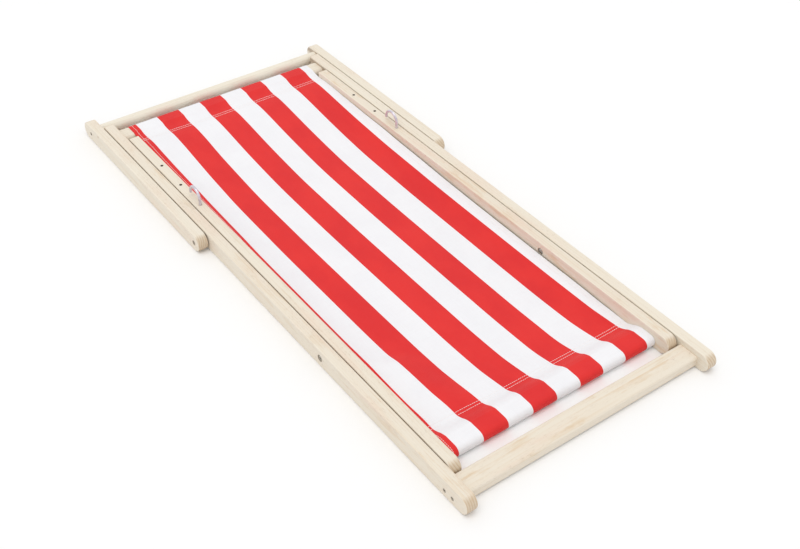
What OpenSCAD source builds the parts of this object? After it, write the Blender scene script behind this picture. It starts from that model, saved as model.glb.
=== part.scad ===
// Wooden folding deck chair with a striped canvas sling, folded flat.
// X runs across the chair, Y from the foot end to the head end, Z up.
// The origin is under the middle of the folded chair, on the ground.
// Three frames lie one inside the other: the seat frame, the back frame
// around it and the prop frame outside. Millimetres throughout.

/* [Frame bars] */
// Height of every bar, which stands on edge
bar_h = 35; // [30:0.5:42]
// Thickness of every bar
bar_t = 21; // [18:0.5:26]
// Rounding along the edges of the bars
bar_r = 2; // [1:0.25:3]
// Running gap between neighbouring frames
frame_gap = 2; // [1.5:0.25:4]
// Clear width between the two seat bars
seat_w = 439; // [380:1:520]

/* [Back frame] */
// Main pivot to the head end of the back bars
back_up = 815; // [760:1:880]
// Main pivot to the round foot tip of the back bars
back_down = 389; // [360:1:430]

/* [Cross boards] */
// Width of the boards that join the bars
board_w = 41; // [34:0.5:46]
// Thickness of the foot board
board_t = 22; // [16:0.5:22]
// Edge rounding of the foot board
board_r = 5; // [2:0.5:7]
// Thickness of the head and knee boards, inside the canvas sleeves
sleeve_board_t = 20.5; // [17:0.5:22]
// Flat left between the two roundings of their edges
sleeve_board_flat = 0.5; // [0.5:0.5:8]
// Head end of the back bars to the head board
head_board_inset = 12.5; // [6:0.5:20]
// Depth of the head board below the top of the bars
head_board_drop = 6.75; // [4:0.25:9]
// Foot tip of the back bars to the foot board
foot_board_inset = 23.5; // [18:0.5:30]
// Knee tip of the seat bars to the knee board
knee_board_inset = 30; // [22:0.5:34]

/* [Seat frame] */
// Clearance between the head board and the seat bars
seat_head_gap = 16.5; // [10:0.5:30]
// Clearance between the foot board and the knee tips
seat_knee_gap = 2.5; // [1.5:0.25:8]
// Head end of the seat bars to the first hook hole
hook_hole_inset = 123; // [90:1:150]
// Pitch of the hook holes
hook_hole_pitch = 78.8; // [65:0.1:90]
// Number of hook holes in each seat bar
hook_hole_count = 3; // [2:1:4]
// Depth of the hook holes
hook_hole_depth = 28; // [20:0.5:29]

/* [Prop frame] */
// Main pivot to the prop pivot
prop_pivot_up = 389.5; // [350:0.5:430]
// Diameter of the round crossbar
crossbar_d = 25; // [20:0.5:28]
// Clearance between the back bars and the crossbar
crossbar_gap = 5.5; // [3:0.25:10]
// Crossbar centre to the tip of the prop arms
arm_overhang = 33; // [26:0.5:45]

/* [Hooks] */
// Diameter of the bent wire
wire_d = 5.5; // [4:0.25:6]
// Room beside the crossbar in the hook
hook_side_gap = 2.75; // [2:0.25:6]
// Room above the crossbar in the hook
hook_top_gap = 1.25; // [0.75:0.25:4]
// Height of the free tip above the bar
hook_tip_gap = 7; // [4:0.5:9]
// Leg end to the bottom of its hole
hook_leg_gap = 0.5; // [0.25:0.25:2]

/* [Pivots] */
// Diameter of the pivot bolts
pin_d = 6; // [5:0.25:8]
// Running clearance of the bolts, on the diameter
pin_clear = 0.1; // [0.06:0.01:0.18]
// Diameter of the recess at each main pivot
main_recess_d = 13; // [12.5:0.25:16]
// Depth of the outer recess of the main pivot
main_recess_depth = 5; // [4:0.25:7]
// Diameter of the recess at each prop pivot
prop_recess_d = 10; // [9:0.25:12]
// Depth of the outer recess of the prop pivot
prop_recess_depth = 4.5; // [3.5:0.25:6]
// Clearance around a bolt head in its recess, on the diameter
head_clear = 0.8; // [0.4:0.1:1.4]
// Height of the bolt heads
head_h = 3; // [2:0.25:3.5]
// Width of the nuts across their flats
nut_flats = 10; // [9:0.25:10.5]
// Thickness of the nuts
nut_t = 5; // [4:0.25:6]
// Depth of a nut below the face of its bar
nut_sink = 1.5; // [1:0.25:3]
// Diameter of the washers between the frames
washer_d = 14; // [11:0.5:20]
// Side clearance of a washer between two bars
washer_gap = 0.1; // [0.05:0.05:0.3]

/* [Screws] */
// Diameter of the screw shanks
screw_d = 4; // [3:0.25:5]
// Diameter of the screw heads
screw_head_d = 6.4; // [5.75:0.1:7.5]
// Height of the screw heads
screw_head_h = 1.8; // [1.4:0.1:2.5]
// Depth of the screw heads below the wood
screw_sink = 1; // [0.5:0.1:2]
// Length of the screws
screw_len = 52; // [42:1:65]
// Spacing of the two screws in each board end
screw_pitch = 19; // [14:0.5:22]
// Clearance around a screw, on the diameter
screw_clear = 0.2; // [0.1:0.05:0.4]

/* [Sling] */
// Thickness of the canvas
cloth_t = 1; // [0.8:0.1:1.8]
// Clearance of the canvas from the boards
cloth_gap = 0.25; // [0.2:0.05:0.6]
// Clearance of the canvas above the ground, under the knee board
ground_gap = 0.5; // [0.3:0.1:2]
// Clearance of the canvas from each seat bar
cloth_side_gap = 0.5; // [0.3:0.1:4]
// Head board to the head stitching
head_stitch_reach = 22; // [18:0.5:60]
// Depth of the head stitching below the top of the bars
head_stitch_drop = 11.25; // [9:0.25:14]
// Knee board to the knee stitching
knee_stitch_reach = 23; // [18:0.5:45]
// Height of the knee stitching above the ground
knee_stitch_up = 8.75; // [6:0.25:11]
// Clearance of the lowest part of the canvas above the ground
sag_gap = 0.5; // [0.3:0.1:6]
// Main pivot to the lowest part of the canvas, toward the head
sag_low = 78.5; // [20:0.5:140]
// Fullness of the canvas's curve on the head side
sag_fullness = 2.7; // [1.8:0.1:3.5]
// Fullness of its curve on the knee side
knee_fullness = 10; // [4:0.5:12]

/* [Hidden] */

wood = "burlywood";
steel = "silver";
canvas = "crimson";

// Facets of the small round features
fine = 64;
// Facets of each edge rounding
edge_fine = 32;
// Steps of a canvas corner and of the hanging canvas
corner_steps = 6;
sag_steps = 60;
// Extra length of a cutting tool past a face
past = 1;

// Half height, where every pivot lies
axis_z = bar_h / 2;

// Middle planes of the three pairs of bars
seat_x = seat_w / 2 + bar_t / 2;
back_x = seat_x + bar_t + frame_gap;
prop_x = back_x + bar_t + frame_gap;

// Outer faces of the bars
seat_out = seat_x + bar_t / 2;
back_in = back_x - bar_t / 2;
back_out = back_x + bar_t / 2;
prop_in = prop_x - bar_t / 2;
prop_out = prop_x + bar_t / 2;

// Reaches along the bars, all from the main pivot
crossbar_up = back_up + crossbar_gap + crossbar_d / 2;
prop_tip_up = crossbar_up + arm_overhang;
head_board_up = back_up - head_board_inset - board_w / 2;
foot_board_down = back_down - foot_board_inset - board_w / 2;
seat_up = head_board_up - board_w / 2 - seat_head_gap;
seat_down = foot_board_down - board_w / 2 - seat_knee_gap;
knee_board_down = seat_down - knee_board_inset - board_w / 2;

// The main pivot, with the folded chair centred on the origin
main_y = (back_down - prop_tip_up) / 2;
prop_y = main_y + prop_pivot_up;
crossbar_y = main_y + crossbar_up;
head_board_y = main_y + head_board_up;
foot_board_y = main_y - foot_board_down;
knee_board_y = main_y - knee_board_down;
seat_head_y = main_y + seat_up;
first_hole_y = seat_head_y - hook_hole_inset;
hook_y = first_hole_y - (hook_hole_count - 1) * hook_hole_pitch;

// Middle heights of the boards
head_board_z = bar_h - head_board_drop - sleeve_board_t / 2;
knee_board_z = ground_gap + cloth_t + cloth_gap + sleeve_board_t / 2;
foot_board_z = ground_gap + cloth_t + cloth_gap + board_t / 2;
sleeve_board_r = (sleeve_board_t - sleeve_board_flat) / 2;

pin_bore = pin_d + pin_clear;
hook_bore = wire_d + pin_clear;
screw_bore = screw_d + screw_clear;
screw_recess_d = screw_head_d + screw_clear;
screw_recess = screw_sink + screw_head_h;
nut_recess = nut_sink + nut_t;
nut_recess_d = main_recess_d;

// The cross slot in a screw head
slot_w = screw_head_d / 8;
slot_l = screw_head_d * 0.6;
slot_depth = screw_head_h / 2;

// Wire centres of the hook and the height of its bend
hook_span = crossbar_d + wire_d + 2 * hook_side_gap;
bend_z = bar_h + crossbar_d + hook_top_gap + wire_d / 2 - hook_span / 2;

// The canvas
cloth_w = seat_w - 2 * cloth_side_gap;
head_stitch_y = head_board_y - board_w / 2 - head_stitch_reach;
knee_stitch_y = knee_board_y + board_w / 2 + knee_stitch_reach;
lowest_y = main_y + sag_low;
lowest_z = sag_gap + cloth_t;
head_stitch_z = bar_h - head_stitch_drop;

// A rectangle with rounded corners, centred
module round_rect(w, h, r) {
    square([w - 2 * r, h], center = true);
    square([w, h - 2 * r], center = true);
    for (x = [-1, 1], y = [-1, 1])
        translate([x * (w / 2 - r), y * (h / 2 - r)])
            circle(r = r, $fn = edge_fine);
}

// Half of a bar's section, from the pivot axis outward
module half_section() {
    translate([0, -bar_t / 2 + bar_r])
        square([bar_h / 2, bar_t - 2 * bar_r]);
    translate([0, -bar_t / 2])
        square([bar_h / 2 - bar_r, bar_t]);
    for (y = [-1, 1])
        translate([bar_h / 2 - bar_r, y * (bar_t / 2 - bar_r)])
            circle(r = bar_r, $fn = edge_fine);
}

// A full round end about the point y, sunk to its middle in the bar
module round_end(y) {
    translate([0, y, axis_z])
        rotate([0, 90, 0])
            rotate_extrude($fn = 2 * fine)
                half_section();
}

// A straight bar on edge between two points
module straight_bar(y0, y1) {
    translate([0, y1, axis_z])
        rotate([90, 0, 0])
            linear_extrude(y1 - y0)
                round_rect(bar_t, bar_h, bar_r);
}

// A hole along X through the bar at the origin plane
module cross_bore(y, z, d) {
    translate([-bar_t / 2 - past, y, z])
        rotate([0, 90, 0])
            cylinder(d = d, h = bar_t + 2 * past, $fn = fine);
}

// A recess of a given depth in the outer (+X) face of a bar
module outer_recess(y, z, d, depth) {
    translate([bar_t / 2 - depth, y, z])
        rotate([0, 90, 0])
            cylinder(d = d, h = depth + past, $fn = fine);
}

// A recess in the inner (-X) face of a bar
module inner_recess(y, z, d, depth) {
    translate([-bar_t / 2 - past, y, z])
        rotate([0, 90, 0])
            cylinder(d = d, h = depth + past, $fn = fine);
}

// The two screw holes of a board end, with their outer recesses
module screw_holes(y, z) {
    for (s = [-1, 1]) {
        cross_bore(y + s * screw_pitch / 2, z, screw_bore);
        outer_recess(y + s * screw_pitch / 2, z, screw_recess_d, screw_recess);
    }
}

// The right hand back bar, lying at its own middle plane
module back_bar() {
    difference() {
        union() {
            straight_bar(main_y - back_down + bar_h / 2, main_y + back_up);
            round_end(main_y - back_down + bar_h / 2);
        }
        cross_bore(main_y, axis_z, pin_bore);
        outer_recess(main_y, axis_z, main_recess_d, main_recess_depth);
        cross_bore(prop_y, axis_z, pin_bore);
        inner_recess(prop_y, axis_z, nut_recess_d, nut_recess);
        screw_holes(head_board_y, head_board_z);
        screw_holes(foot_board_y, foot_board_z);
    }
}

// The right hand seat bar with its hook holes
module seat_bar() {
    difference() {
        union() {
            straight_bar(main_y - seat_down + bar_h / 2, seat_head_y);
            round_end(main_y - seat_down + bar_h / 2);
        }
        cross_bore(main_y, axis_z, pin_bore);
        inner_recess(main_y, axis_z, nut_recess_d, nut_recess);
        screw_holes(knee_board_y, knee_board_z);
        for (i = [0 : hook_hole_count - 1])
            translate([0, first_hole_y - i * hook_hole_pitch, bar_h - hook_hole_depth])
                cylinder(d = hook_bore, h = hook_hole_depth + past, $fn = fine);
    }
}

// The right hand prop arm, round at both ends
module prop_arm() {
    difference() {
        union() {
            straight_bar(prop_y, crossbar_y + arm_overhang - bar_h / 2);
            round_end(prop_y);
            round_end(crossbar_y + arm_overhang - bar_h / 2);
        }
        cross_bore(prop_y, axis_z, pin_bore);
        outer_recess(prop_y, axis_z, prop_recess_d, prop_recess_depth);
        cross_bore(crossbar_y, axis_z, screw_bore);
        outer_recess(crossbar_y, axis_z, screw_recess_d, screw_recess);
    }
}

// A board across the chair, drilled at both ends for its screws
module board(len, y, z, face, t, r) {
    translate([0, y, z])
        difference() {
            translate([-len / 2, 0, 0])
                rotate([90, 0, 90])
                    linear_extrude(len)
                        round_rect(board_w, t, r);
            for (m = [0, 1], s = [-1, 1])
                mirror([m, 0, 0])
                    translate([face - screw_recess - screw_len - past, s * screw_pitch / 2, 0])
                        rotate([0, 90, 0])
                            cylinder(d = screw_bore, h = screw_len + 2 * past, $fn = fine);
        }
}

// A screw along X with its head top at x = 0, pointing to -X
module screw() {
    rotate([0, 90, 0])
        difference() {
            union() {
                translate([0, 0, -screw_head_h])
                    cylinder(d = screw_head_d, h = screw_head_h, $fn = fine);
                translate([0, 0, -screw_head_h - screw_len])
                    cylinder(d = screw_d, h = screw_len + screw_head_h / 2, $fn = fine);
            }
            for (a = [0, 90])
                rotate([0, 0, a])
                    translate([-slot_l / 2, -slot_w / 2, -slot_depth])
                        cube([slot_l, slot_w, slot_depth + past]);
        }
}

// Four screws, two through each bar into the board at y, z
module board_screws(face, y, z) {
    for (m = [0, 1], s = [-1, 1])
        mirror([m, 0, 0])
            translate([face - screw_sink, y + s * screw_pitch / 2, z])
                screw();
}

// A bolt along X: round head under the outer face, shank to x = to
module bolt(face, recess_d, recess_depth, y, to) {
    seat = face - recess_depth;
    translate([seat, y, axis_z])
        rotate([0, 90, 0]) {
            difference() {
                cylinder(d = recess_d - head_clear, h = head_h, $fn = fine);
                translate([-recess_d / 4, -slot_w, head_h / 2])
                    cube([recess_d / 2, 2 * slot_w, head_h]);
            }
            translate([0, 0, to - seat])
                cylinder(d = pin_d, h = seat - to + head_h / 4, $fn = fine);
        }
}

// A washer along X that fills the gap outside the face
module washer(face, y) {
    translate([face + washer_gap, y, axis_z])
        rotate([0, 90, 0])
            difference() {
                cylinder(d = washer_d, h = frame_gap - 2 * washer_gap, $fn = fine);
                translate([0, 0, -past])
                    cylinder(d = pin_bore, h = frame_gap + 2 * past, $fn = fine);
            }
}

// A hexagon nut in the recess of an inner face
module nut(face, y) {
    translate([face + nut_sink, y, axis_z])
        rotate([0, 90, 0])
            difference() {
                cylinder(d = nut_flats / cos(30), h = nut_t - washer_gap, $fn = 6);
                translate([0, 0, -past])
                    cylinder(d = pin_bore, h = nut_t + 2 * past, $fn = fine);
            }
}

// The bent wire hook in its hole, with its free tip toward the head
module hook() {
    translate([seat_x, hook_y, 0]) {
        translate([0, 0, bar_h - hook_hole_depth + hook_leg_gap])
            cylinder(d = wire_d, h = bend_z - bar_h + hook_hole_depth - hook_leg_gap, $fn = fine);
        translate([0, hook_span / 2, bend_z])
            rotate([90, 0, 90])
                rotate_extrude(angle = 180, $fn = 2 * fine)
                    translate([hook_span / 2, 0])
                        circle(d = wire_d, $fn = edge_fine);
        translate([0, hook_span, bar_h + hook_tip_gap + wire_d / 2])
            cylinder(d = wire_d, h = bend_z - bar_h - hook_tip_gap - wire_d / 2, $fn = fine);
        translate([0, hook_span, bar_h + hook_tip_gap + wire_d / 2])
            sphere(d = wire_d, $fn = fine);
    }
}

function reverse(list) = [for (i = [len(list) - 1 : -1 : 0]) list[i]];

// Top of the hanging canvas
function sag_z(y) =
    y > lowest_y
        ? lowest_z + (head_stitch_z - lowest_z)
            * pow((y - lowest_y) / (head_stitch_y - lowest_y), sag_fullness)
        : lowest_z + (knee_stitch_up - lowest_z)
            * pow((lowest_y - y) / (lowest_y - knee_stitch_y), knee_fullness);

// Points of an arc about c, from angle a0 to a1
function arc(c, r, a0, a1) =
    [
        for (i = [0 : corner_steps])
            let (a = a0 + (a1 - a0) * i / corner_steps)
            c + r * [cos(a), sin(a)]
    ];

// Angle, from 0 to 360, at which a line from p touches a circle about c
function touch(p, c, r, side) =
    (atan2(p[1] - c[1], p[0] - c[0]) + side * acos(r / norm(p - c)) + 360) % 360;

// Canvas around a board, offset by e: from its stitching over the top,
// round the far side and back below. dir is 1 at the head, -1 at the knee.
function sleeve(y, z, e, dir, top, low) =
    let (
        r = sleeve_board_r + e,
        u = board_w / 2 - sleeve_board_r,
        v = sleeve_board_t / 2 - sleeve_board_r,
        flip = function (pts) [for (p = pts) [y + dir * p[0], z + p[1]]],
        a = [dir * (top[0] - y), top[1] - z],
        b = [dir * (low[0] - y), low[1] - z]
    )
    flip(concat(
        [a],
        arc([-u, v], r, touch(a, [-u, v], r, -1), 90),
        arc([u, v], r, 90, 0),
        arc([u, -v], r, 0, -90),
        arc([-u, -v], r, -90, touch(b, [-u, -v], r, 1) - 360),
        [b]
    ));

// The whole outline of the canvas seen from the side
function sling_outline() =
    let (
        e = cloth_gap + cloth_t,
        ht = [head_stitch_y, sag_z(head_stitch_y)],
        kt = [knee_stitch_y, sag_z(knee_stitch_y)],
        down = [0, cloth_t],
        span = knee_stitch_y - head_stitch_y,
        steps = [for (i = [1 : sag_steps - 1]) head_stitch_y + span * i / sag_steps]
    )
    concat(
        [for (y = reverse(steps)) [y, sag_z(y)]],
        sleeve(head_board_y, head_board_z, e, 1, ht, ht - down),
        [for (y = steps) [y, sag_z(y) - cloth_t]],
        reverse(sleeve(knee_board_y, knee_board_z, e, -1, kt, kt - down))
    );

// The hollow of a sleeve, closed at its stitching
function sleeve_hollow(y, z, dir, stitch_y) =
    let (p = [stitch_y + dir * cloth_t, sag_z(stitch_y) - cloth_t / 2])
    sleeve(y, z, cloth_gap, dir, p, p);

module along_x(w) {
    translate([-w / 2, 0, 0])
        rotate([90, 0, 90])
            linear_extrude(w)
                children();
}

module back_bar_left() color(wood) mirror([1, 0, 0]) translate([back_x, 0, 0]) back_bar();
module back_bar_right() color(wood) translate([back_x, 0, 0]) back_bar();
module seat_bar_left() color(wood) mirror([1, 0, 0]) translate([seat_x, 0, 0]) seat_bar();
module seat_bar_right() color(wood) translate([seat_x, 0, 0]) seat_bar();
module prop_arm_left() color(wood) mirror([1, 0, 0]) translate([prop_x, 0, 0]) prop_arm();
module prop_arm_right() color(wood) translate([prop_x, 0, 0]) prop_arm();
module head_board()
    color(wood)
        board(2 * back_in, head_board_y, head_board_z, back_out, sleeve_board_t, sleeve_board_r);
module foot_board()
    color(wood)
        board(2 * back_in, foot_board_y, foot_board_z, back_out, board_t, board_r);
module knee_board()
    color(wood)
        board(seat_w, knee_board_y, knee_board_z, seat_out, sleeve_board_t, sleeve_board_r);
module head_board_screws() color(steel) board_screws(back_out, head_board_y, head_board_z);
module foot_board_screws() color(steel) board_screws(back_out, foot_board_y, foot_board_z);
module knee_board_screws() color(steel) board_screws(seat_out, knee_board_y, knee_board_z);

module prop_crossbar() {
    color(wood)
        difference() {
            translate([-prop_in, crossbar_y, axis_z])
                rotate([0, 90, 0])
                    cylinder(d = crossbar_d, h = 2 * prop_in, $fn = fine);
            for (m = [0, 1])
                mirror([m, 0, 0])
                    translate([prop_out - screw_recess - screw_len - past, crossbar_y, axis_z])
                        rotate([0, 90, 0])
                            cylinder(d = screw_bore, h = screw_len, $fn = fine);
        }
}

module prop_crossbar_screws() {
    color(steel)
        for (m = [0, 1])
            mirror([m, 0, 0])
                translate([prop_out - screw_sink, crossbar_y, axis_z])
                    screw();
}

module main_bolt() bolt(back_out, main_recess_d, main_recess_depth, main_y, seat_w / 2 + nut_sink);
module prop_bolt() bolt(prop_out, prop_recess_d, prop_recess_depth, prop_y, back_in + nut_sink / 2);

module main_pivot_bolt_left() color(steel) mirror([1, 0, 0]) main_bolt();
module main_pivot_bolt_right() color(steel) main_bolt();
module main_pivot_washer_left() color(steel) mirror([1, 0, 0]) washer(seat_out, main_y);
module main_pivot_washer_right() color(steel) washer(seat_out, main_y);
module main_pivot_nut_left() color(steel) mirror([1, 0, 0]) nut(seat_w / 2, main_y);
module main_pivot_nut_right() color(steel) nut(seat_w / 2, main_y);
module prop_pivot_bolt_left() color(steel) mirror([1, 0, 0]) prop_bolt();
module prop_pivot_bolt_right() color(steel) prop_bolt();
module prop_pivot_washer_left() color(steel) mirror([1, 0, 0]) washer(back_out, prop_y);
module prop_pivot_washer_right() color(steel) washer(back_out, prop_y);
module prop_pivot_nut_left() color(steel) mirror([1, 0, 0]) nut(back_in, prop_y);
module prop_pivot_nut_right() color(steel) nut(back_in, prop_y);
module hook_left() color(steel) mirror([1, 0, 0]) hook();
module hook_right() color(steel) hook();

// The canvas sling: a sleeve round the head board, the hanging sheet and
// a sleeve round the knee board, sewn from one piece
module sling() {
    color(canvas)
        difference() {
            along_x(cloth_w) polygon(sling_outline());
            along_x(cloth_w + 2 * past)
                polygon(sleeve_hollow(head_board_y, head_board_z, 1, head_stitch_y));
            along_x(cloth_w + 2 * past)
                polygon(sleeve_hollow(knee_board_y, knee_board_z, -1, knee_stitch_y));
        }
}

back_bar_left();
back_bar_right();
head_board();
foot_board();
head_board_screws();
foot_board_screws();
seat_bar_left();
seat_bar_right();
knee_board();
knee_board_screws();
prop_arm_left();
prop_arm_right();
prop_crossbar();
prop_crossbar_screws();
main_pivot_bolt_left();
main_pivot_bolt_right();
main_pivot_washer_left();
main_pivot_washer_right();
main_pivot_nut_left();
main_pivot_nut_right();
prop_pivot_bolt_left();
prop_pivot_bolt_right();
prop_pivot_washer_left();
prop_pivot_washer_right();
prop_pivot_nut_left();
prop_pivot_nut_right();
hook_left();
hook_right();
sling();
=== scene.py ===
"""Looks of a wooden folding deck chair with a striped canvas sling, lying folded flat."""
import bmesh
import bpy
import math
from bisect import bisect
from mathutils import Matrix, Vector, noise
from mathutils.bvhtree import BVHTree


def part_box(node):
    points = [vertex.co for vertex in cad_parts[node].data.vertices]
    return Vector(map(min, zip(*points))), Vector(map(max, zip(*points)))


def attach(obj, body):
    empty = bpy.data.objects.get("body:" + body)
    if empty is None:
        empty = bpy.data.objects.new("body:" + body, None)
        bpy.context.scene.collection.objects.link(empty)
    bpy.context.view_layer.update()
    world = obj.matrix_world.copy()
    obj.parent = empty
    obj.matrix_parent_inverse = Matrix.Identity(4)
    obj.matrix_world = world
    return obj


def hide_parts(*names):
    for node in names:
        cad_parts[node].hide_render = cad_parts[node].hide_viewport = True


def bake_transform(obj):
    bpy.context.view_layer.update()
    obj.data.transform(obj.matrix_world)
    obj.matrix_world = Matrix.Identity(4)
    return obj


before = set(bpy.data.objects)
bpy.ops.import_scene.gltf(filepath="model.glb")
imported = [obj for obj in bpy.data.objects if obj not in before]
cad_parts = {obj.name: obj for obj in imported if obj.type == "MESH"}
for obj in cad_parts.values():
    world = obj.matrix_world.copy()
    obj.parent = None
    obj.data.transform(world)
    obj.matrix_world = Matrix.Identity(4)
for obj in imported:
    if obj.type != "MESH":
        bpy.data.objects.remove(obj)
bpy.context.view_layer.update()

# ---------------------------------------------------------------- sizes, in metres
board_corner = 0.010
cloth_thick = 0.0008
cloth_off_board = 0.0003
cloth_half = 0.219
head_stitch_reach = 0.022
knee_stitch_reach = 0.0242
seam_gap = 0.0068
hem_fold = 0.0095
hem_line = 0.0078
stitch_pitch = 0.0042
hang_steps = 104
side_rise_from = 0.140
hem_spread = 0.62
hem_drop = 1.56
hook_hole_pitch = 0.0788
# How far below a bar's top the painted shade in a narrow gap reaches.
gap_shade_depth = 0.0055
canvas_thread_pitch = 0.00104
stripe_pitch = 0.10118
stripe_wide = 0.0505
stripe_middle = -0.0269
first_stripe = -0.2020


def board_section(node):
    """Middle and half sizes of a board's section across Y and Z."""
    low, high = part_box(node)
    middle = ((low[1] + high[1]) / 2, (low[2] + high[2]) / 2)
    return (*middle, (high[1] - low[1]) / 2, (high[2] - low[2]) / 2)


head_y, head_z, board_half, board_deep = board_section("head_board")
knee_y, knee_z, _, _ = board_section("knee_board")
head_stitch_y = head_y - board_half - head_stitch_reach
knee_stitch_y = knee_y + board_half + knee_stitch_reach

# The hanging canvas in millimetres: place along the chair, height of its middle, how much higher its
# left and right hems hang, how far it has slipped to the left, where its left side begins to rise, and
# how much of that rise is a fold near the knee.
hang_points = [
    (head_stitch_y * 1000, 23.4, 3.5, 1.0, 0.0, 50, 0.0), (480, 23.9, 6.0, 2.0, 0.2, 50, 0.0),
    (440, 20.9, 6.4, 4.4, 0.5, 50, 0.0), (400, 16.4, 9.6, 8.2, 0.9, 80, 0.0),
    (360, 12.4, 13.0, 12.0, 1.5, 100, 0.0), (320, 9.1, 16.8, 15.0, 2.1, 114, 0.0),
    (280, 6.4, 20.6, 18.4, 2.8, 118, 0.0), (240, 4.8, 22.0, 20.4, 3.9, 124, 0.0),
    (200, 4.0, 22.5, 20.8, 4.8, 125, 0.0), (120, 3.0, 22.2, 20.6, 5.5, 128, 0.0),
    (40, 2.0, 21.0, 19.4, 5.8, 136, 0.0), (-80, 1.5, 21.0, 18.2, 5.9, 136, 0.0),
    (-200, 1.5, 21.0, 17.6, 6.1, 140, 0.0), (-280, 1.5, 19.0, 17.2, 6.1, 130, 0.2),
    (-320, 1.6, 13.6, 17.0, 5.9, 97, 0.7), (-360, 1.9, 11.0, 15.4, 5.2, 93, 1.0),
    (-400, 3.0, 9.2, 12.4, 4.6, 74, 1.0), (-420, 4.0, 8.4, 10.0, 3.4, 71, 1.0),
    (-440, 5.2, 7.2, 6.6, 1.8, 70, 1.0), (knee_stitch_y * 1000, 7.4, 2.4, 1.8, 0.0, 70, 0.6),
]
hang_start = (head_stitch_y, hang_points[0][1] / 1000 - cloth_thick / 2)


def through(column, y):
    """A smooth line through one column of the hanging points, with no overshoot between them."""
    points = [(p[0] / 1000, p[column] / 1000) for p in hang_points][::-1]
    slopes = [(b[1] - a[1]) / (b[0] - a[0]) for a, b in zip(points, points[1:])]
    bends = [slopes[0]] + [0.0 if a * b <= 0 else 2 * a * b / (a + b) for a, b in zip(slopes, slopes[1:])]
    bends.append(slopes[-1])
    y = min(max(y, points[0][0]), points[-1][0])
    i = max(k for k in range(len(points) - 1) if points[k][0] <= y)
    (y0, z0), (y1, z1) = points[i], points[i + 1]
    wide = y1 - y0
    t = (y - y0) / wide
    return ((2 * t**3 - 3 * t**2 + 1) * z0 + (t**3 - 2 * t**2 + t) * wide * bends[i]
            + (3 * t**2 - 2 * t**3) * z1 + (t**3 - t**2) * wide * bends[i + 1])


def smoothstep(low, high, value):
    t = min(max((value - low) / (high - low), 0.0), 1.0)
    return t * t * (3 - 2 * t)


# ---------------------------------------------------------------- camera, floor and light
def place_camera():
    """The photograph's view: yaw, pitch and roll in degrees, place in metres."""
    yaw, pitch, roll = math.radians(36.602), math.radians(40.313), math.radians(-0.7636)
    forward = Vector((math.sin(yaw) * math.cos(pitch), math.cos(yaw) * math.cos(pitch), -math.sin(pitch)))
    right = Vector((math.cos(yaw), -math.sin(yaw), 0))
    down = forward.cross(right)
    across = math.cos(roll) * right + math.sin(roll) * down
    drop = -math.sin(roll) * right + math.cos(roll) * down
    data = bpy.data.cameras.new("camera")
    data.sensor_width = 36
    data.lens = 52.358
    data.clip_start = 0.05
    camera = bpy.data.objects.new("camera", data)
    bpy.context.scene.collection.objects.link(camera)
    turn = Matrix((across, -drop, -forward)).transposed().to_4x4()
    camera.matrix_world = Matrix.Translation((-0.97742, -1.41851, 1.36615)) @ turn
    bpy.context.scene.camera = camera


def light_studio():
    """White light from all round, and a broad soft one from above, a little to the left."""
    world = bpy.data.worlds.new("studio")
    world.use_nodes = True
    background = world.node_tree.nodes["Background"]
    background.inputs["Color"].default_value = (1.0, 1.0, 1.0, 1.0)
    background.inputs["Strength"].default_value = 0.84
    bpy.context.scene.world = world
    data = bpy.data.lights.new("window", "SUN")
    data.energy = 0.90
    data.angle = math.radians(46)
    data.color = (1.0, 0.99, 0.97)
    lamp = bpy.data.objects.new("window", data)
    bpy.context.scene.collection.objects.link(lamp)
    lamp.rotation_euler = Vector((-0.24, -0.10, 0.96)).to_track_quat("Z", "Y").to_euler()
    bpy.context.scene.view_settings.view_transform = "Standard"


# ---------------------------------------------------------------- finishes
class Value:
    """A number, colour or place that varies over a surface. Sums and products of it add their nodes."""

    def __init__(self, finish, node, out=0):
        self.finish = finish
        self.node = node
        self.socket = node.outputs[out]

    def of(self, out):
        return Value(self.finish, self.node, out)

    def math(self, operation, *others):
        return self.finish.math(operation, self, *others)

    def __add__(self, other):
        return self.finish.math("ADD", self, other)

    def __radd__(self, other):
        return self.finish.math("ADD", other, self)

    def __sub__(self, other):
        return self.finish.math("SUBTRACT", self, other)

    def __rsub__(self, other):
        return self.finish.math("SUBTRACT", other, self)

    def __mul__(self, other):
        return self.finish.math("MULTIPLY", self, other)

    def __rmul__(self, other):
        return self.finish.math("MULTIPLY", other, self)

    def __truediv__(self, other):
        return self.finish.math("DIVIDE", self, other)

    def __rtruediv__(self, other):
        return self.finish.math("DIVIDE", other, self)

    def __abs__(self):
        return self.finish.math("ABSOLUTE", self)


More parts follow.
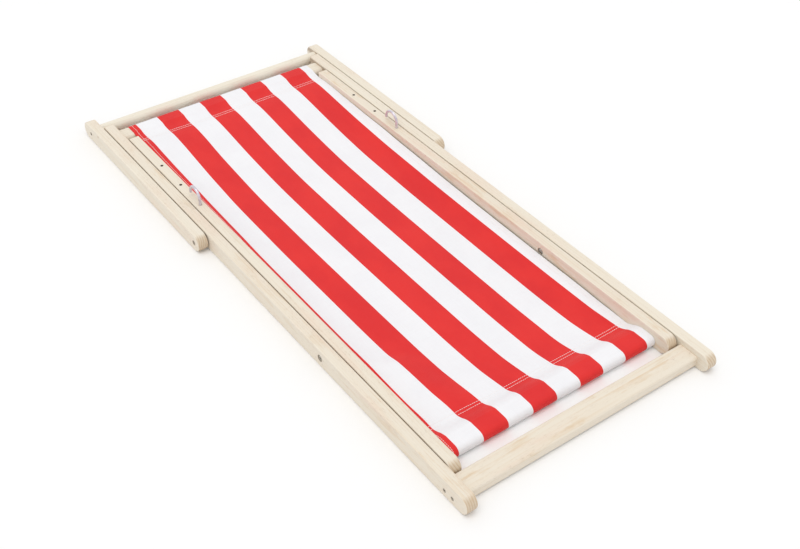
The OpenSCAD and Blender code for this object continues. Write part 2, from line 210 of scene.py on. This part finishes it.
class Finish:
    """One material, made node by node around a Principled shader."""

    def __init__(self, name):
        self.material = bpy.data.materials.new(name)
        self.material.use_nodes = True
        self.tree = self.material.node_tree
        self.tree.nodes.clear()
        self.shader = self.tree.nodes.new("ShaderNodeBsdfPrincipled")
        surface = self.tree.nodes.new("ShaderNodeOutputMaterial")
        self.tree.links.new(self.shader.outputs[0], surface.inputs["Surface"])

    def feed(self, socket, value):
        if isinstance(value, Value):
            self.tree.links.new(value.socket, socket)
        elif hasattr(value, "__len__") and len(value) == 3 and len(socket.default_value) == 4:
            socket.default_value = (*value, 1.0)
        else:
            socket.default_value = value

    def add(self, kind, settings=None, values=None, out=0):
        """Adds a node: its settings first, then the values or links of its sockets."""
        node = self.tree.nodes.new(kind)
        for key, value in (settings or {}).items():
            if key == "stops":
                stops = node.color_ramp.elements
                while len(stops) < len(value):
                    stops.new(0.5)
                for stop, (place, colour) in zip(stops, value):
                    stop.position = place
                    stop.color = (*colour, 1.0)
            else:
                setattr(node, key, value)
        for key, value in (values or {}).items():
            self.feed(node.inputs[key], value)
        return Value(self, node, out)

    def math(self, operation, *values):
        return self.add("ShaderNodeMath", {"operation": operation}, dict(enumerate(values)))

    def set(self, **sockets):
        for key, value in sockets.items():
            self.feed(self.shader.inputs[key.replace("_", " ")], value)

    def place(self):
        return self.add("ShaderNodeTexCoord", out="Object")

    def split(self, vector):
        parts = self.add("ShaderNodeSeparateXYZ", values={0: vector})
        return parts.of(0), parts.of(1), parts.of(2)

    def join(self, x, y, z):
        return self.add("ShaderNodeCombineXYZ", values={0: x, 1: y, 2: z})

    def stretch(self, vector, factors, shift=(0, 0, 0)):
        return self.add("ShaderNodeVectorMath", {"operation": "MULTIPLY_ADD"},
                        {0: vector, 1: factors, 2: shift})

    def clouds(self, vector, scale=1.0, detail=2.0, rough=0.5):
        return self.add("ShaderNodeTexNoise", values={
            "Vector": vector, "Scale": scale, "Detail": detail, "Roughness": rough})

    def ease(self, value, low, high, to_low=0.0, to_high=1.0):
        return self.add("ShaderNodeMapRange", {"interpolation_type": "SMOOTHSTEP"},
                        {0: value, 1: low, 2: high, 3: to_low, 4: to_high})

    def blend(self, factor, first, second, how="MIX"):
        node = self.add("ShaderNodeMix", {"data_type": "RGBA", "blend_type": how},
                        {0: factor, 6: first, 7: second})
        return node.of(2)

    def bump(self, height, distance, strength=1.0):
        self.feed(self.shader.inputs["Normal"], self.add("ShaderNodeBump", values={
            "Strength": strength, "Distance": distance, "Height": height}))


def end_grain(f, length, height, low, high, deep, rounded):
    """1 where the fibres are cut across: at the two ends of a piece, each round or square."""
    cut = 0.0
    for end, way, turned in ((low, -1, rounded[0]), (high, 1, rounded[1])):
        if turned:
            beyond = (length - (end - way * deep)) * way
            reach = (beyond * beyond + height * height).math("SQRT")
            cut = cut + f.ease(reach, deep * 0.965, deep * 0.99) * f.ease(beyond, deep * 0.15, deep * 0.75)
        else:
            cut = cut + f.ease((length - end) * way, -0.0009, -0.0003)
    return cut


def hole_edge(f, place, centre, radius):
    """1 inside a drilled hole and at its rim. centre has 0 for the axis that the hole follows."""
    flat = f.stretch(place, tuple(1.0 if c else 0.0 for c in centre))
    out = f.add("ShaderNodeVectorMath", {"operation": "DISTANCE"}, {0: flat, 1: centre}, out="Value")
    return f.ease(out, radius + 0.0001, radius + 0.0006, 1.0, 0.0)


def pale_wood(name, node, along, seed, pith, warm, rounded, gap_shaded=(), shaded_holes=(), knot=None):
    """Pale close-grained wood under a thin satin varnish. along is 0 or 1, the axis that the fibres follow.
    pith is where the tree's heart lies beside the piece, across and up. The side faces listed next lie across
    a narrow gap from a neighbour, each from where along the piece it is given; they get painted shade just
    below their top. The bores and recesses listed last get painted shade inside them. knot is a place and a
    size."""
    low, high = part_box(node)
    middle = [(low[i] + high[i]) / 2 for i in range(3)]
    half = [(high[i] - low[i]) / 2 for i in range(3)]
    across = 1 - along
    f = Finish(name)
    place = f.place()
    xyz = f.split(place)
    length = xyz[along]
    side = xyz[across] - middle[across]
    height = xyz[2] - middle[2]
    shift = (seed * 3.17, seed * 1.73, seed * 2.41)
    timber = f.join(side, length, height)
    wander = f.clouds(f.stretch(timber, (6, 1.6, 6), shift), detail=1.0) - 0.5
    ripple = f.clouds(f.stretch(timber, (60, 9, 60), shift), detail=2.0) - 0.5
    ring_side = side - pith[0] + wander * 0.030
    ring_height = height - pith[1] + wander * 0.018
    distance = (ring_side * ring_side + ring_height * ring_height).math("SQRT") + ripple * 0.0014
    ring = (distance / 0.0046).math("FRACT")
    late = f.ease(ring, 0.35, 0.93) * f.ease(ring, 0.94, 1.0, 1.0, 0.0)
    fibre = f.clouds(f.stretch(timber, (1100, 22, 1100), shift), detail=3.0, rough=0.6)
    streak = f.clouds(f.stretch(timber, (210, 5, 210), shift), detail=3.0, rough=0.55)
    mottle = f.clouds(f.stretch(timber, (26, 5, 26), shift), detail=3.0, rough=0.6)
    pore = f.ease(f.clouds(f.stretch(timber, (1500, 120, 1500), shift), detail=1.0), 0.63, 0.74)
    vessels = pore * f.ease(mottle, 0.35, 0.60)
    fleck = f.ease(f.clouds(f.stretch(timber, (900, 70, 900), shift), detail=1.0), 0.66, 0.78)
    cut = end_grain(f, length, height, low[along], high[along], half[2], rounded)
    patch = f.ease(f.clouds(f.stretch(timber, (55, 13, 55), shift), detail=4.0, rough=0.62), 0.50, 0.66)
    figure = late * 0.24 + f.ease(streak, 0.38, 0.72) * 0.32 + (fibre - 0.5) * 0.30
    figure = figure + patch * (0.10 + 0.45 * warm)
    light = (0.798 - 0.02 * warm, 0.732 - 0.03 * warm, 0.618 - 0.03 * warm)
    tan = (0.690 + 0.02 * warm, 0.568 - 0.02 * warm, 0.412 - 0.04 * warm)
    rosy = (0.780, 0.625, 0.500)
    colour = f.blend(f.ease(figure, 0.02, 1.10), light, tan)
    colour = f.blend(f.ease(mottle, 0.46, 0.76) * (0.55 + 0.3 * warm), colour, rosy)
    colour = f.blend(vessels * 0.38 + fleck * 0.22, colour, (0.42, 0.28, 0.17))
    colour = f.blend(cut * (0.50 + late * 0.35), colour, (0.52, 0.37, 0.22))
    edge = f.ease(abs(side) / half[across], 0.84, 0.99) * f.ease(abs(height) / half[2], 0.90, 0.995)
    edge = edge * (1.0 - cut)
    colour = f.blend(edge * 0.35, colour, (0.90, 0.83, 0.71))
    dent = f.ease(f.clouds(f.stretch(timber, (95, 40, 95), shift), detail=1.0), 0.70, 0.80)
    relief = (fibre - 0.5) * 0.35 - vessels * 0.9 + late * 0.25 - dent * edge * 1.5
    # Painted shade: side faces that meet a neighbour across a narrow gap are darkened brown just below their
    # top, for the shade in the gap.
    for face, start in gap_shaded:
        gap_shade = f.ease(abs(side - (face - middle[across])), 0.0004, 0.0, 0.0, 1.0)
        gap_shade = gap_shade * f.ease(length, start, start + 0.004)
        gap_shade = gap_shade * f.ease(height, half[2] - gap_shade_depth, half[2] - 0.0018, 1.0, 0.0)
        gap_shade = gap_shade * f.ease(height, 0.0, 0.008)
        colour = f.blend(gap_shade * 0.55, colour, (0.24, 0.125, 0.050))
    # Painted shade: the inside and rim of each drilled bore and screw recess are coloured dark brown, for the
    # shade in it.
    for centre, radius in shaded_holes:
        inside = hole_edge(f, place, centre, radius)
        colour = f.blend(inside * (0.48 if centre[2] else 0.88), colour, (0.085, 0.045, 0.025))
    if knot:
        spot, size = knot
        out = f.add("ShaderNodeVectorMath", {"operation": "DISTANCE"}, {0: place, 1: spot}, out="Value")
        core = f.ease(out + ripple * 0.002, size * 0.45, size, 1.0, 0.0)
        halo = f.ease(out + ripple * 0.004, size, size * 3.2, 1.0, 0.0)
        colour = f.blend(halo * 0.35, colour, (0.62, 0.42, 0.24))
        colour = f.blend(core * 0.85, colour, (0.26, 0.14, 0.07))
        relief = relief - core * 0.8
    f.set(Base_Color=colour, Roughness=0.50 + (fibre - 0.5) * 0.22 + vessels * 0.15 - edge * 0.10,
          Specular_IOR_Level=0.42, Coat_Weight=0.10, Coat_Roughness=0.32)
    f.bump(relief, 0.00032, 0.55)
    return f.material


def plated_wire(name, colour, dull, bright=0.92):
    """Zinc plate on drawn steel: fine lines along the draw, cloudy patches and a few worn spots."""
    f = Finish(name)
    place = f.place()
    cloud = f.clouds(f.stretch(place, (180, 180, 180)), detail=3.0, rough=0.6)
    grain = f.clouds(f.stretch(place, (2600, 900, 900)), detail=2.0)
    worn = f.ease(f.clouds(f.stretch(place, (420, 420, 300), (4, 1, 7)), detail=2.0), 0.58, 0.70)
    tone = f.blend(f.ease(cloud, 0.35, 0.68), colour, tuple(c * 0.80 for c in colour))
    tone = f.blend(worn * 0.45, tone, tuple(c * 0.55 for c in colour))
    f.set(Base_Color=tone, Metallic=bright - worn * 0.25, Roughness=dull + (cloud - 0.5) * 0.22 + worn * 0.16)
    f.bump(grain * 0.5 + worn * -0.4, 0.00006, 0.5)
    return f.material


def striped_canvas(name):
    """Plain-woven outdoor canvas. The cloth's own map runs across it and along it, in metres."""
    f = Finish(name)
    across, along, _ = f.split(f.add("ShaderNodeUVMap", {"uv_map": "cloth"}))
    cloth = f.join(across, along, 0.0)
    warp = f.clouds(f.stretch(cloth, (1900, 24, 1)), detail=2.0, rough=0.6)
    weft = f.clouds(f.stretch(cloth, (24, 1900, 1), (3, 5, 0)), detail=2.0, rough=0.6)
    tone = f.clouds(f.stretch(cloth, (14, 9, 1), (1, 7, 0)), detail=3.0, rough=0.55)
    ragged = f.clouds(f.stretch(cloth, (1, 1400, 1), (9, 2, 0)), detail=1.0) - 0.5
    place = across - cloth_half + ragged * 0.0005
    step = (place - stripe_middle + stripe_pitch * 4.5) / stripe_pitch
    off = abs(step.math("FRACT") - 0.5) * stripe_pitch
    red = f.ease(off, stripe_wide / 2 - 0.0003, stripe_wide / 2 + 0.0003, 1.0, 0.0)
    red = red.math("MAXIMUM", f.ease(place, first_stripe - 0.0003, first_stripe + 0.0003, 1.0, 0.0))
    thread = 2 * math.pi / canvas_thread_pitch
    over = (across * thread).math("SINE")
    under = (along * thread).math("SINE")
    weave = over * under
    white_tone = f.blend(f.ease(tone, 0.30, 0.72), (0.878, 0.888, 0.912), (0.851, 0.861, 0.888))
    red_tone = f.blend(f.ease(tone, 0.30, 0.72), (0.770, 0.023, 0.020), (0.708, 0.016, 0.017))
    colour = f.blend(red, white_tone, red_tone)
    yarn = (warp - 0.5) * 0.5 + (weft - 0.5) * 0.5
    colour = f.blend(f.ease(yarn - weave * 0.10, -0.25, 0.30, 0.0, 0.11), colour, (0.42, 0.16, 0.17))
    f.set(Base_Color=colour, Roughness=0.70 + yarn * 0.3, Specular_IOR_Level=0.26, Sheen_Weight=0.10,
          Sheen_Roughness=0.40)
    f.bump(weave * 0.5 + yarn * 0.9, 0.00016, 0.6)
    return f.material


def sewing_thread(name):
    """Twisted white thread, its lay slanting across each stitch."""
    f = Finish(name)
    x, y, z = f.split(f.place())
    lay = ((x + y) * 9000.0 + z * 6000.0).math("SINE")
    fuzz = f.clouds(f.stretch(f.place(), (1500, 1500, 1500)), detail=2.0)
    # Painted shade: the thread is coloured darker in the grooves of its twist, where the lay's bump is low.
    tone = f.blend(f.ease(lay, -1.0, 1.0), (0.86, 0.80, 0.79), (0.97, 0.94, 0.93))
    tone = f.blend(f.ease(fuzz, 0.40, 0.75) * 0.4, tone, (0.60, 0.52, 0.50))
    f.set(Base_Color=tone, Roughness=0.62 + fuzz * 0.2, Sheen_Weight=0.2)
    f.bump(lay * 0.6 + fuzz * 0.5, 0.00008, 0.5)
    return f.material


def studio_floor(name):
    f = Finish(name)
    soft = f.clouds(f.stretch(f.place(), (3, 3, 3)), detail=2.0)
    tone = f.blend(soft, (0.912, 0.912, 0.914), (0.900, 0.900, 0.902))
    f.set(Base_Color=tone, Roughness=0.8 + soft * 0.1)
    return f.material


def dress(node, material):
    """Gives a CAD node its finish on every slot."""
    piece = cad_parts[node]
    for slot in piece.material_slots:
        slot.material = material
    if not piece.material_slots:
        piece.data.materials.append(material)


# ---------------------------------------------------------------- making new pieces
def nothing_selected():
    if bpy.context.object and bpy.context.object.mode != "OBJECT":
        bpy.ops.object.mode_set(mode="OBJECT")
    bpy.ops.object.select_all(action="DESELECT")


def apply_modifiers(piece):
    nothing_selected()
    piece.select_set(True)
    bpy.context.view_layer.objects.active = piece
    for modifier in list(piece.modifiers):
        bpy.ops.object.modifier_apply(modifier=modifier.name)


def settle(piece):
    """Puts the piece's place into its mesh, so that its object sits at the origin."""
    nothing_selected()
    piece.select_set(True)
    bpy.context.view_layer.objects.active = piece
    bpy.ops.object.transform_apply(location=True, rotation=True, scale=True)


def round_corner(centre, radius, start, end, steps=5):
    """Points of an arc in the Y, Z plane, angles in degrees."""
    turns = [math.radians(start + (end - start) * i / steps) for i in range(steps + 1)]
    return [(centre[0] + radius * math.cos(a), centre[1] + radius * math.sin(a)) for a in turns]


def sleeve_line(board_y, board_z, stitch, way):
    """The cloth's middle line round a board: from the seam over the top, round the far side and back
    below to the seam. way is 1 at the head and -1 at the knee."""
    radius = board_corner + cloth_off_board + cloth_thick / 2
    u, v = board_half - board_corner, board_deep - board_corner
    upper = (way * (stitch[0] - board_y), stitch[1] - board_z)
    lower = (upper[0], upper[1] - cloth_thick * 1.15)

    def touch(point, centre, side):
        gap = (point[0] - centre[0], point[1] - centre[1])
        turn = math.degrees(math.atan2(gap[1], gap[0]) + side * math.acos(radius / math.hypot(*gap)))
        return turn % 360

    corner = round_corner((-u, v), radius, touch(upper, (-u, v), -1), 90)
    line = [upper]
    for t in (i / 6 for i in range(1, 6)):
        bow = -0.0015 if way > 0 else 0.0026 * smoothstep(0.30, 0.90, t) - 0.0008
        line.append((upper[0] + (corner[0][0] - upper[0]) * t,
                     upper[1] + (corner[0][1] - upper[1]) * t + bow * math.sin(math.pi * t)))
    line += corner
    line += round_corner((u, v), radius, 90, 0)
    line += round_corner((u, -v), radius, 0, -90)
    line += round_corner((-u, -v), radius, -90, touch(lower, (-u, -v), 1) - 360)
    line += [lower]
    return [(board_y + way * p[0], board_z + p[1]) for p in line]


def fill_in(line, longest):
    """The same line with no step longer than the given one."""
    out = [line[0]]
    for a, b in zip(line, line[1:]):
        steps = max(1, math.ceil(math.dist(a, b) / longest))
        out += [(a[0] + (b[0] - a[0]) * i / steps, a[1] + (b[1] - a[1]) * i / steps)
                for i in range(1, steps + 1)]
    return out


def sling_line():
    """The whole canvas from the side, in the middle of its width: head hem, head sleeve, the hanging part,
    knee sleeve and knee hem."""
    middle = cloth_thick / 2
    hang = [head_stitch_y + (knee_stitch_y - head_stitch_y) * i / hang_steps for i in range(hang_steps + 1)]
    hang = [(y, through(1, y) - middle) for y in hang]
    head = sleeve_line(head_y, head_z, hang[0], 1)
    knee = sleeve_line(knee_y, knee_z, hang[-1], -1)
    under = middle + cloth_thick * 1.2
    head_hem = [(head_stitch_y - r, through(1, head_stitch_y - r) - under) for r in (hem_fold, hem_fold / 2)]
    knee_hem = [(knee_stitch_y + r, through(1, knee_stitch_y + r) - under) for r in (hem_fold / 2, hem_fold)]
    return head_hem + fill_in(head[::-1], 0.006)[:-1] + hang + fill_in(knee, 0.006)[1:] + knee_hem


def slack(x, y):
    """How the hanging canvas leaves its middle line at x, y: sideways and upward. Its hems hang tighter,
    and the right one lies flatter beside its bar."""
    slip = through(4, y)
    if x > 0:
        edge = max(0.0, (x - side_rise_from) / (cloth_half - side_rise_from))
        valley = 0.0028 * math.exp(-((x - 0.085) / 0.05) ** 2 - ((y + 0.432) / 0.03) ** 2)
        spread = slip * hem_spread * edge ** 11
        return spread - slip, through(3, y) * edge ** 3.6 - valley - spread * hem_drop
    start = through(5, y)
    edge = max(0.0, (-x - start) / (cloth_half - start))
    fold = through(6, y) * 1000
    lift = edge ** (1.2 + (start - 0.050) / 0.090 * 1.2)
    lift += (smoothstep(start, start + 0.074, -x) - lift) * fold
    side = max(0.0, (-x - side_rise_from) / (cloth_half - side_rise_from))
    return -slip * (1 - side ** 2.2), through(2, y) * lift


def crease(x, y):
    """Soft undulations of the hanging canvas, and the puckers beside its seams."""
    free = smoothstep(head_stitch_y, head_stitch_y - 0.07, y)
    free *= smoothstep(knee_stitch_y, knee_stitch_y + 0.05, y)
    low = min(1.0, 0.25 + max(0.0, (through(1, y) - 0.0014) / 0.010))
    soft = noise.noise(Vector((x * 9, y * 5, 3.1))) * 0.0010
    soft += noise.noise(Vector((x * 24, y * 10, 8.4))) * 0.0004
    near = min(abs(y - head_stitch_y), abs(y - knee_stitch_y))
    pucker = noise.noise(Vector((x * 110, y * 14, 5.7))) * 0.00025
    pucker *= math.exp(-((near / 0.011) ** 2))
    return abs(soft) * free * low + pucker


def lay_out(line, side):
    """Places of one column of the canvas, side being -1 at its left hem and 1 at its right."""
    x = side * cloth_half
    inner = cloth_half - hem_fold
    hem = smoothstep(inner - 0.0012, inner + 0.0004, abs(x)) * 0.00028
    column = []
    for i, (y, z) in enumerate(line):
        a, b = line[max(i - 1, 0)], line[min(i + 1, len(line) - 1)]
        size = math.dist(a, b)
        normal = ((a[1] - b[1]) / size, (b[0] - a[0]) / size)
        held = knee_stitch_y <= y <= head_stitch_y and first_hanging <= i <= last_hanging
        if held:
            across, up = slack(x, y)
            up += crease(x, y)
        else:
            near = min(abs(y - head_stitch_y), abs(y - knee_stitch_y))
            across = 0.0
            up = slack(x, head_stitch_y if y > 0 else knee_stitch_y)[1] * smoothstep(0.030, 0.0, near)
            up += crease(x, y)
        out = hem * (1.0 if held else 0.4)
        column.append(Vector((x + across, y + normal[0] * out, z + normal[1] * out + up)))
    return column


def make_sling():
    """One woven sheet from hem to hem, shaped along its line, subdivided and given its thickness."""
    rows = len(line)
    nothing_selected()
    bpy.ops.mesh.primitive_grid_add(x_subdivisions=len(sides) - 1, y_subdivisions=rows - 1, size=2)
    sling = bpy.context.object
    sling.name = "canvas_sling"
    mesh = sling.data
    stations = {}
    for vertex in mesh.vertices:
        row = round((vertex.co.y + 1) / 2 * (rows - 1))
        column = round((vertex.co.x + 1) / 2 * (len(sides) - 1))
        stations[vertex.index] = ((sides[column] + 1) * cloth_half, run[row])
        vertex.co = canvas[column][row]
    chart = mesh.uv_layers.new(name="cloth")
    for loop in mesh.loops:
        chart.data[loop.index].uv = stations[loop.vertex_index]
    mesh.uv_layers.active = chart
    for layer in [m for m in mesh.uv_layers if m.name != "cloth"]:
        mesh.uv_layers.remove(layer)
    smooth = sling.modifiers.new("smooth", "SUBSURF")
    smooth.levels = smooth.render_levels = 1
    smooth.uv_smooth = "NONE"
    body = sling.modifiers.new("cloth", "SOLIDIFY")
    body.thickness = cloth_thick
    body.offset = 0
    apply_modifiers(sling)
    bpy.ops.object.shade_smooth_by_angle(angle=math.radians(50))
    settle(sling)
    return sling


def find(values, value):
    """Where a value lies among rising ones: an index and a share of the step after it."""
    i = min(max(bisect(values, value) - 1, 0), len(values) - 2)
    return i, (value - values[i]) / (values[i + 1] - values[i])


def on_canvas(x, along):
    """A place on the canvas, with its directions across, along and out of its upper face."""
    i, s = find(sides, x / cloth_half)
    j, t = find(run, along)
    a, b, c, d = canvas[i][j], canvas[i + 1][j], canvas[i][j + 1], canvas[i + 1][j + 1]
    place = (a * (1 - s) + b * s) * (1 - t) + (c * (1 - s) + d * s) * t
    across = ((b - a) * (1 - t) + (d - c) * t).normalized()
    down = ((c - a) * (1 - s) + (d - b) * s).normalized()
    return place, across, down, down.cross(across).normalized()


def make_stitch():
    """One stitch along X: a thread that rises out of the cloth, lies on it and dives in again."""
    nothing_selected()
    bpy.ops.mesh.primitive_cylinder_add(vertices=6, radius=0.00048, depth=0.0039,
                                        rotation=(0, math.pi / 2, 0))
    stitch = bpy.context.object
    settle(stitch)
    bpy.ops.object.mode_set(mode="EDIT")
    bpy.ops.mesh.select_all(action="DESELECT")
    shape = bmesh.from_edit_mesh(stitch.data)
    for edge in shape.edges:
        edge.select = abs(edge.verts[0].co.x - edge.verts[1].co.x) > 0.002
    bpy.ops.mesh.subdivide(number_cuts=3)
    # Both ends dive into the cloth and grow thin, and the shoulders beside them sink a little.
    for low, high, drop, thin in ((0.0018, 1, -0.00055, 0.45), (0.0007, 0.0012, -0.00007, 0.92)):
        shape = bmesh.from_edit_mesh(stitch.data)
        bpy.ops.mesh.select_all(action="DESELECT")
        for vertex in shape.verts:
            vertex.select = low < abs(vertex.co.x) < high
        shape.select_flush_mode()
        bpy.ops.transform.translate(value=(0, 0, drop))
        bpy.ops.transform.resize(value=(1, thin, thin), center_override=(0, 0, drop))
    bpy.ops.object.mode_set(mode="OBJECT")
    bpy.ops.object.shade_smooth()
    return stitch


def sew(name, stitch, paths, skin):
    """Lays copies of the stitch on the canvas, each by its place, the way it runs and the side it lies on."""
    copies = []
    for place, ahead, out in paths:
        place = skin.find_nearest(place + out * cloth_thick * 0.8)[0]
        copy = stitch.copy()
        copy.data = stitch.data.copy()
        bpy.context.scene.collection.objects.link(copy)
        side = out.cross(ahead).normalized()
        turn = Matrix((ahead, side, out)).transposed().to_4x4()
        copy.data.transform(Matrix.Translation(place + out * 0.00016) @ turn)
        copy.matrix_world = Matrix.Identity(4)
        copies.append(copy)
    nothing_selected()
    for copy in copies:
        copy.select_set(True)
    bpy.context.view_layer.objects.active = copies[0]
    bpy.ops.object.join()
    copies[0].name = name
    return copies[0]


def seam_row(along):
    """A row of stitches across the canvas, on its outer face."""
    margin = 0.004
    count = int(2 * (cloth_half - margin) / stitch_pitch)
    row = []
    for i in range(count):
        x = -cloth_half + margin + (i + 0.5) * stitch_pitch
        x += noise.noise(Vector((i * 1.7, along * 90, 0))) * 0.0003
        wander = noise.noise(Vector((i * 0.35, along * 50, 7))) * 0.00025
        place, across, down, out = on_canvas(x, along + wander)
        tilt = noise.noise(Vector((i * 2.3, along * 70, 3))) * 0.06
        ahead = (across + down * tilt).normalized()
        row.append((place, ahead, out))
    return row


def hem_row(x, face):
    """A row of stitches down the canvas beside its edge. The hidden side has them outside the sleeves."""
    row = []
    start, end = (0.002, run[-1] - 0.002) if face > 0 else (head_seam + 0.004, knee_seam - 0.004)
    for i in range(int((end - start) / stitch_pitch)):
        along = start + (i + 0.5) * stitch_pitch
        place, across, down, out = on_canvas(x + noise.noise(Vector((i * 0.3, x * 50, 2))) * 0.0002, along)
        row.append((place, down, out * face))
    return row


# ---------------------------------------------------------------- the scene
place_camera()
light_studio()

nothing_selected()
bpy.ops.mesh.primitive_plane_add(size=30, location=(0, 0, -0.0004))
floor = bpy.context.object
floor.name = "studio_floor"
settle(floor)
floor.data.materials.append(studio_floor("pale floor"))


def recesses(fastener):
    """Axis and radius of the round recess of a screw or bolt, or of two screws side by side."""
    low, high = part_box(fastener)
    deep = (high[2] - low[2]) / 2
    height = (low[2] + high[2]) / 2
    places = sorted({round(low[1] + deep, 5), round(high[1] - deep, 5)})
    return [((0, y, height), deep + 0.0002) for y in places]


prop_low, seat_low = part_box("prop_arm_left")[0][1] + 0.006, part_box("seat_bar_left")[0][1] + 0.012
one_round, both_round, square = (True, False), (True, True), (False, False)
woods = [
    ("back_bar_left", 1, 1.0, (0.060, 0.012), 0.6, one_round),
    ("back_bar_right", 1, 2.0, (-0.050, -0.020), 0.0, one_round),
    ("seat_bar_left", 1, 3.0, (0.055, 0.030), 0.2, one_round),
    ("seat_bar_right", 1, 4.0, (0.045, -0.010), 0.9, one_round),
    ("prop_arm_left", 1, 5.0, (-0.070, 0.015), 0.0, both_round),
    ("prop_arm_right", 1, 6.0, (0.040, 0.025), 0.0, both_round),
    ("head_board", 0, 7.0, (0.015, 0.050), 0.3, square),
    ("foot_board", 0, 8.0, (-0.020, 0.060), 0.7, square),
    ("knee_board", 0, 9.0, (0.010, 0.055), 0.3, square),
    # The crossbar's warm below zero makes its wood paler than the other pieces. This is painted light for its
    # near side, which lies in shade below the head board.
    ("prop_crossbar", 0, 10.0, (0.030, 0.020), -0.9, square),
]
screws_in = {"back_bar": ("head_board_screws", "foot_board_screws", "main_pivot_bolt_{}"),
             "seat_bar": ("main_pivot_nut_{}",),
             "prop_arm": ("prop_pivot_bolt_{}", "prop_crossbar_screws")}
for node, along, seed, pith, warm, rounded in woods:
    kind, hand = node.rsplit("_", 1)
    gap_shaded, shaded_holes, knot = [], [], None
    if kind in screws_in:
        low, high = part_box(node)
        inner, outer = (low[0], high[0]) if hand == "right" else (high[0], low[0])
        # Side faces that lie across a narrow gap from a neighbour; they get painted shade.
        gap_shaded = {"back_bar": [(inner, seat_low), (outer, prop_low)], "seat_bar": [(outer, -1.0)],
                  "prop_arm": [(inner, -1.0)]}[kind]
        # Recesses of the screws and bolts, and the bores for the hooks below, get painted shade inside.
        for fastener in screws_in[kind]:
            shaded_holes += recesses(fastener.format(hand))
    if kind == "seat_bar":
        (x0, y0, _), (x1, _, _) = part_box("hook_" + hand)
        wire = (x1 - x0) / 2
        shaded_holes += [(((x0 + x1) / 2, y0 + wire + i * hook_hole_pitch, 0), wire) for i in range(3)]
    if node == "prop_arm_left":
        knot = ((-0.2865, 0.5579, 0.0293), 0.0016)
    dress(node, pale_wood("pale wood, " + node.replace("_", " "), node, along, seed, pith, warm, rounded,
                          gap_shaded, shaded_holes, knot))

hooks = plated_wire("zinc plated hook wire", (0.74, 0.70, 0.78), 0.36, 0.60)
screws = plated_wire("dull zinc screws", (0.62, 0.60, 0.54), 0.42)
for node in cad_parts:
    if node.startswith("hook"):
        dress(node, hooks)
    elif "screws" in node or "pivot" in node:
        dress(node, screws)

line = sling_line()
first_hanging = min(i for i, p in enumerate(line) if math.dist(p, hang_start) < 1e-6)
last_hanging = first_hanging + hang_steps
run = [0.0]
for a, b in zip(line, line[1:]):
    run.append(run[-1] + math.dist(a, b))
sides = [-1 + i / 30 for i in range(61)]
sides = [math.copysign(1 - (1 - abs(side)) ** 1.35, side) for side in sides]
canvas = [lay_out(line, side) for side in sides]

sling = make_sling()
sling.data.materials.append(striped_canvas("red and white canvas"))
skin = BVHTree.FromObject(sling, bpy.context.evaluated_depsgraph_get())
stitch = make_stitch()
thread = sewing_thread("white sewing thread")
head_seam, knee_seam = run[first_hanging], run[last_hanging]
head_rows = [head_seam, head_seam + seam_gap, run[2], run[2] - seam_gap]
knee_rows = [knee_seam, knee_seam - seam_gap, run[-3], run[-3] + seam_gap]
sewing = [
    sew("head_seam_stitches", stitch, [p for along in head_rows for p in seam_row(along)], skin),
    sew("knee_seam_stitches", stitch, [p for along in knee_rows for p in seam_row(along)], skin),
]
for name, x in (("left_hem_stitches", -cloth_half + hem_line), ("right_hem_stitches", cloth_half - hem_line)):
    sewing.append(sew(name, stitch, hem_row(x, 1) + hem_row(x, -1), skin))
bpy.data.objects.remove(stitch)
for piece in sewing:
    piece.data.materials.append(thread)
for piece in [sling] + sewing[2:]:
    knee_stitch_y + 0.014
    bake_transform(piece)
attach(sewing[0], "back_frame")
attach(sewing[1], "seat_frame")
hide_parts("sling")
